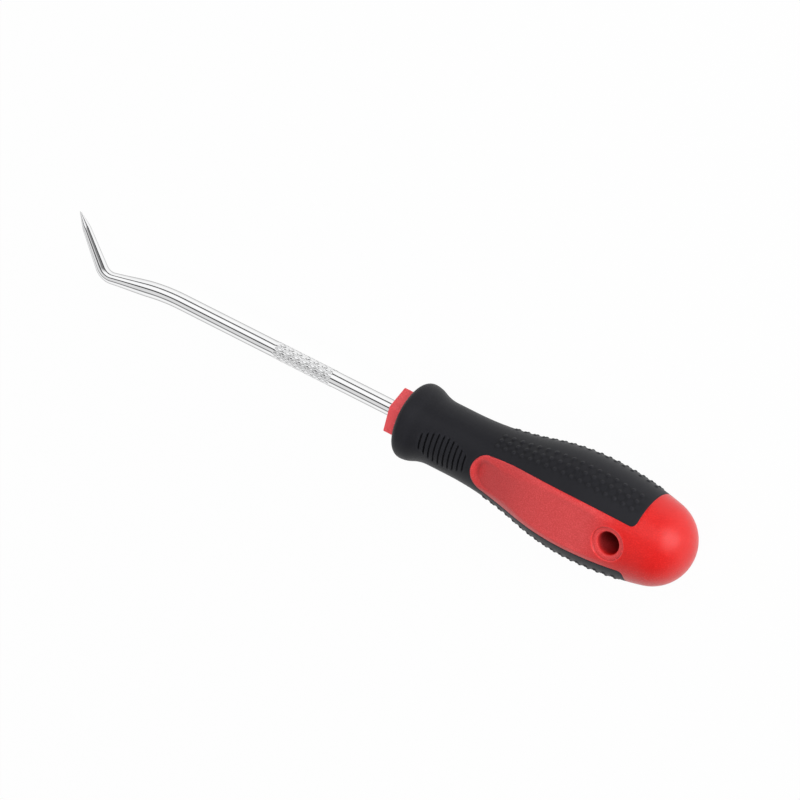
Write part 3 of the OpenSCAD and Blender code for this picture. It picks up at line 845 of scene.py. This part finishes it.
# Brightness of the surround at each angle of roll about the tool, in degrees
levels = [(0, 1), (34, 1), (41, 0.22), (53, 0.22), (60, 0.75), (94, 0.72), (98, 0.05), (111, 0.05),
          (116, 1), (159, 1), (164, 0.10), (180, 0.10)]
while len(stops) < len(levels):
    stops.new(0.5)
for stop, (degrees, grey) in zip(stops, levels):
    stop.position = degrees / 180
    stop.color = (grey, grey, grey * 1.005, 1)
ambient, surround = nodes.new("ShaderNodeBackground"), nodes.new("ShaderNodeBackground")
ambient.inputs["Color"].default_value = (1, 1, 1, 1)
ambient.inputs["Strength"].default_value = 0.2
camera_ray = nodes.new("ShaderNodeLightPath").outputs["Is Camera Ray"]
links.new(blend_colours(nodes, links, camera_ray, panels.outputs["Color"], (1, 1, 1)),
          surround.inputs["Color"])
ahead_share = map_range(nodes, links, direction.outputs["X"], (-0.25, 0.15), (0.2, 1))
links.new(math_node(nodes, links, "MAXIMUM", ahead_share, camera_ray), surround.inputs["Strength"])
either = nodes.new("ShaderNodeMixShader")
links.new(seen_directly(nodes, links), either.inputs["Fac"])
links.new(ambient.outputs["Background"], either.inputs[1])
links.new(surround.outputs["Background"], either.inputs[2])
links.new(either.outputs["Shader"], world_out.inputs["Surface"])

TOOL_MIDDLE = Vector((-0.05, 0, 0.015))


def soft_lamp(name, towards, distance, size, power, mirrored=True):
    """A square soft box that looks at the handle. Metal and gloss show it only if mirrored."""
    light = bpy.data.lights.new(name, "AREA")
    light.shape, light.size, light.energy = "SQUARE", size, power
    lamp = bpy.data.objects.new(name, light)
    bpy.context.collection.objects.link(lamp)
    towards = Vector(towards).normalized()
    lamp.location = TOOL_MIDDLE + towards * distance
    lamp.rotation_mode = "QUATERNION"
    lamp.rotation_quaternion = towards.to_track_quat("Z", "Y")
    lamp.visible_glossy = mirrored


soft_lamp("side lamp", (-0.85, -0.47, 0.24), 0.9, 0.24, 3.6)
soft_lamp("key lamp", (-0.20, -0.68, 0.71), 1.0, 0.5, 3.9, mirrored=False)
soft_lamp("back lamp", (-0.10, 0.30, 0.95), 1.5, 0.6, 5.4, mirrored=False)

# The camera of the photograph: a long lens at a steep angle, rolled half over, placed so that the
# middle of the collar's front face falls on its own pixel of the picture.
CAMERA_RIGHT = Vector((-0.84207, -0.22462, -0.49037))
CAMERA_UP = Vector((0.40659, -0.86173, -0.30349))
CAMERA_BACK = Vector((-0.35439, -0.45494, 0.81697))
PICTURE_WIDTH, SENSOR_WIDTH = 800, 36.0
COLLAR_PIXEL = (398.424, 411.455)
CAMERA_DISTANCE, PIXELS_PER_MM = 1.6581, 3.36885
focal = PIXELS_PER_MM * 1000 * CAMERA_DISTANCE
collar = Vector((COLLAR_X / 1000, 0, COLLAR_Z / 1000))
aim_right = (COLLAR_PIXEL[0] - PICTURE_WIDTH / 2) / focal * CAMERA_DISTANCE
aim_up = (PICTURE_WIDTH / 2 - COLLAR_PIXEL[1]) / focal * CAMERA_DISTANCE
camera_data = bpy.data.cameras.new("camera")
camera_data.sensor_width = SENSOR_WIDTH
camera_data.lens = focal * SENSOR_WIDTH / PICTURE_WIDTH
camera_data.clip_start, camera_data.clip_end = 0.05, 30
camera = bpy.data.objects.new("camera", camera_data)
bpy.context.collection.objects.link(camera)
turned_to = Matrix((CAMERA_RIGHT, CAMERA_UP, CAMERA_BACK)).transposed()
camera.rotation_mode = "QUATERNION"
camera.rotation_quaternion = turned_to.to_quaternion()
camera.location = (
    collar + CAMERA_BACK * CAMERA_DISTANCE - CAMERA_RIGHT * aim_right - CAMERA_UP * aim_up
)
bpy.context.scene.camera = camera
bpy.context.scene.view_settings.view_transform = "Standard"
